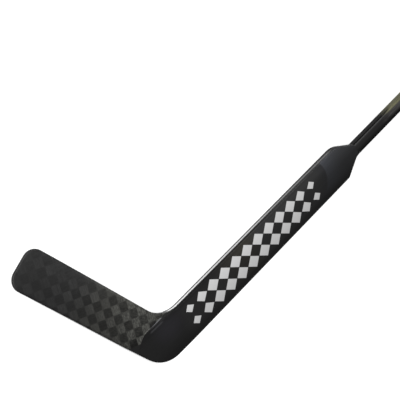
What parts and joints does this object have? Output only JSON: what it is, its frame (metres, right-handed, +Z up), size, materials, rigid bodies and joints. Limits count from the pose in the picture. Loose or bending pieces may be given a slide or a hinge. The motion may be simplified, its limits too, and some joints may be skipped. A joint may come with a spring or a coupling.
{
  "type": "hockey goalie stick",
  "caption": "Composite ice hockey goalie stick lying flat: curved chequered carbon blade, wide glossy black paddle and slim hollow shaft with an end plug.",
  "frame": {"origin": "middle of the paddle's flat stretch, on its lower face, which lies on the ground", "axes": "+X up the shaft from the heel, +Y across the paddle towards the blade, +Z up, out of the backhand face"},
  "size_m": [1.6717, 0.3868, 0.02],
  "materials": {
    "paddle_gloss": "gloss black lacquer over carbon",
    "paddle_edge": "gloss black lacquer",
    "blade_weave": "satin clear coat over chequered spread-tow carbon",
    "blade_edge": "satin black",
    "shaft_finish": "satin black lacquer over carbon",
    "bare_carbon": "moulded carbon laminate",
    "foam": "rigid closed-cell foam",
    "dense_foam": "dense rigid foam",
    "plug_rubber": "matt moulded rubber"
  },
  "bodies": {
    "root": {"paddle_backhand_skin": "paddle_gloss", "paddle_forehand_skin": "paddle_gloss", "paddle_toe_side_wall": "paddle_edge", "paddle_heel_side_wall": "paddle_edge", "paddle_toe_side_web": "bare_carbon", "paddle_heel_side_web": "bare_carbon", "paddle_toe_side_core": "foam", "paddle_middle_core": "foam", "paddle_heel_side_core": "foam", "heel_block": "dense_foam", "blade_backhand_skin": "blade_weave", "blade_forehand_skin": "blade_weave", "blade_edge_band": "blade_edge", "blade_upper_core": "foam", "blade_lower_core": "foam", "blade_rib": "bare_carbon", "shaft_tube": "shaft_finish", "neck_tenon": "bare_carbon", "butt_plug": "plug_rubber"}
  },
  "joints": []
}
